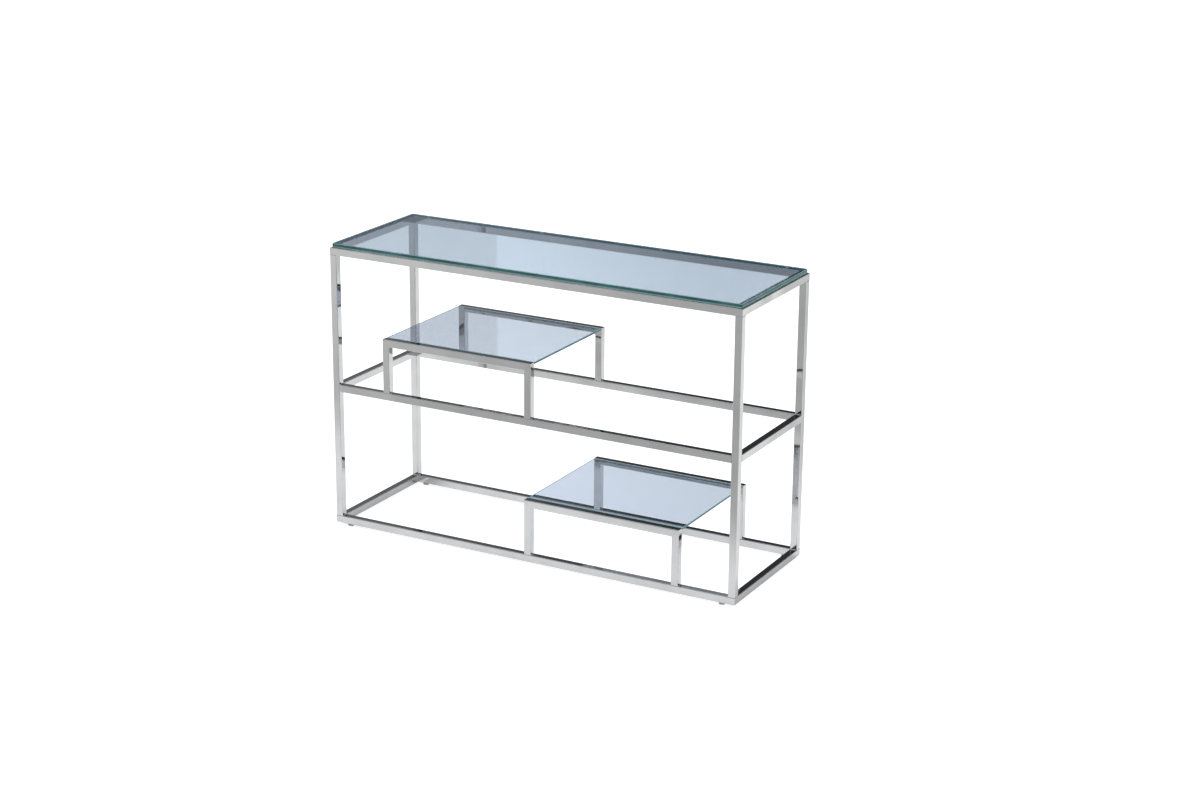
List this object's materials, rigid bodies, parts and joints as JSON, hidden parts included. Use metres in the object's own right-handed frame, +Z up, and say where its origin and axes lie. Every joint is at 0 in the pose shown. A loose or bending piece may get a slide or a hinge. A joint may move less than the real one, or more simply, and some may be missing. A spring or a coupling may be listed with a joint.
{
  "type": "console table",
  "caption": "Console table: a box frame of polished square steel tube with a clear glass top, two raised glass shelves set in at different heights, and screw-in levelling feet.",
  "frame": {"origin": "on the floor, under the middle of the table", "axes": "+X along the length, to the right seen from the front; +Y to the rear; +Z up"},
  "size_m": [1.2, 0.4, 0.788],
  "materials": {
    "polished_steel": "mirror-polished stainless or chromed steel tube",
    "clear_glass": "clear toughened glass with a cool blue cast, teal at its polished edges",
    "clear_plastic": "clear soft plastic, slightly cloudy",
    "foot_plastic": "moulded pale grey plastic, fine texture",
    "zinc_steel": "bright zinc-plated steel"
  },
  "bodies": {
    "frame": {"bottom_front_rail": "polished_steel", "bottom_left_rail": "polished_steel", "bottom_rear_rail": "polished_steel", "bottom_right_rail": "polished_steel", "front_bumper_1": "clear_plastic", "front_bumper_2": "clear_plastic", "front_bumper_3": "clear_plastic", "front_bumper_4": "clear_plastic", "front_left_leg": "polished_steel", "front_left_threaded_insert": "zinc_steel", "front_right_leg": "polished_steel", "front_right_threaded_insert": "zinc_steel", "lower_shelf_front_bar": "polished_steel", "lower_shelf_front_gasket": "clear_plastic", "lower_shelf_front_ledge": "polished_steel", "lower_shelf_front_left_post": "polished_steel", "lower_shelf_front_right_post": "polished_steel", "lower_shelf_glass": "clear_glass", "lower_shelf_rear_bar": "polished_steel", "lower_shelf_rear_gasket": "clear_plastic", "lower_shelf_rear_ledge": "polished_steel", "lower_shelf_rear_left_post": "polished_steel", "lower_shelf_rear_right_post": "polished_steel", "middle_front_rail": "polished_steel", "middle_left_rail": "polished_steel", "middle_rear_rail": "polished_steel", "middle_right_rail": "polished_steel", "rear_bumper_1": "clear_plastic", "rear_bumper_2": "clear_plastic", "rear_bumper_3": "clear_plastic", "rear_bumper_4": "clear_plastic", "rear_left_leg": "polished_steel", "rear_left_threaded_insert": "zinc_steel", "rear_right_leg": "polished_steel", "rear_right_threaded_insert": "zinc_steel", "top_front_rail": "polished_steel", "top_glass": "clear_glass", "top_left_rail": "polished_steel", "top_rear_rail": "polished_steel", "top_right_rail": "polished_steel", "upper_shelf_front_bar": "polished_steel", "upper_shelf_front_gasket": "clear_plastic", "upper_shelf_front_ledge": "polished_steel", "upper_shelf_front_left_post": "polished_steel", "upper_shelf_front_right_post": "polished_steel", "upper_shelf_glass": "clear_glass", "upper_shelf_rear_bar": "polished_steel", "upper_shelf_rear_gasket": "clear_plastic", "upper_shelf_rear_ledge": "polished_steel", "upper_shelf_rear_left_post": "polished_steel", "upper_shelf_rear_right_post": "polished_steel"},
    "front_left_pad": {"front_left_foot_pad": "foot_plastic"},
    "front_left_stud": {"front_left_foot_stud": "zinc_steel"},
    "front_right_pad": {"front_right_foot_pad": "foot_plastic"},
    "front_right_stud": {"front_right_foot_stud": "zinc_steel"},
    "rear_right_pad": {"rear_right_foot_pad": "foot_plastic"},
    "rear_right_stud": {"rear_right_foot_stud": "zinc_steel"},
    "rear_left_pad": {"rear_left_foot_pad": "foot_plastic"},
    "rear_left_stud": {"rear_left_foot_stud": "zinc_steel"}
  },
  "joints": [
    {"name": "front_left_foot_height", "type": "slide", "parent": "frame", "child": "front_left_pad", "axis": [0, 0, -1], "range_m": [0, 0.01]},
    {"name": "front_left_foot_screw", "type": "hinge", "parent": "front_left_pad", "child": "front_left_stud", "pos_m": [-0.56, -0.19, 0.005], "axis": [0, 0, -1], "range_deg": [0, 3600]},
    {"name": "front_right_foot_height", "type": "slide", "parent": "frame", "child": "front_right_pad", "axis": [0, 0, -1], "range_m": [0, 0.01]},
    {"name": "front_right_foot_screw", "type": "hinge", "parent": "front_right_pad", "child": "front_right_stud", "pos_m": [0.56, -0.19, 0.005], "axis": [0, 0, -1], "range_deg": [0, 3600]},
    {"name": "rear_right_foot_height", "type": "slide", "parent": "frame", "child": "rear_right_pad", "axis": [0, 0, -1], "range_m": [0, 0.01]},
    {"name": "rear_right_foot_screw", "type": "hinge", "parent": "rear_right_pad", "child": "rear_right_stud", "pos_m": [0.56, 0.19, 0.005], "axis": [0, 0, -1], "range_deg": [0, 3600]},
    {"name": "rear_left_foot_height", "type": "slide", "parent": "frame", "child": "rear_left_pad", "axis": [0, 0, -1], "range_m": [0, 0.01]},
    {"name": "rear_left_foot_screw", "type": "hinge", "parent": "rear_left_pad", "child": "rear_left_stud", "pos_m": [-0.56, 0.19, 0.005], "axis": [0, 0, -1], "range_deg": [0, 3600]}
  ],
  "couplings": [
    {"joint": "front_left_foot_screw", "follows": "front_left_foot_height", "rad_per_m": 6283.2},
    {"joint": "front_right_foot_screw", "follows": "front_right_foot_height", "rad_per_m": 6283.2},
    {"joint": "rear_right_foot_screw", "follows": "rear_right_foot_height", "rad_per_m": 6283.2},
    {"joint": "rear_left_foot_screw", "follows": "rear_left_foot_height", "rad_per_m": 6283.2}
  ]
}
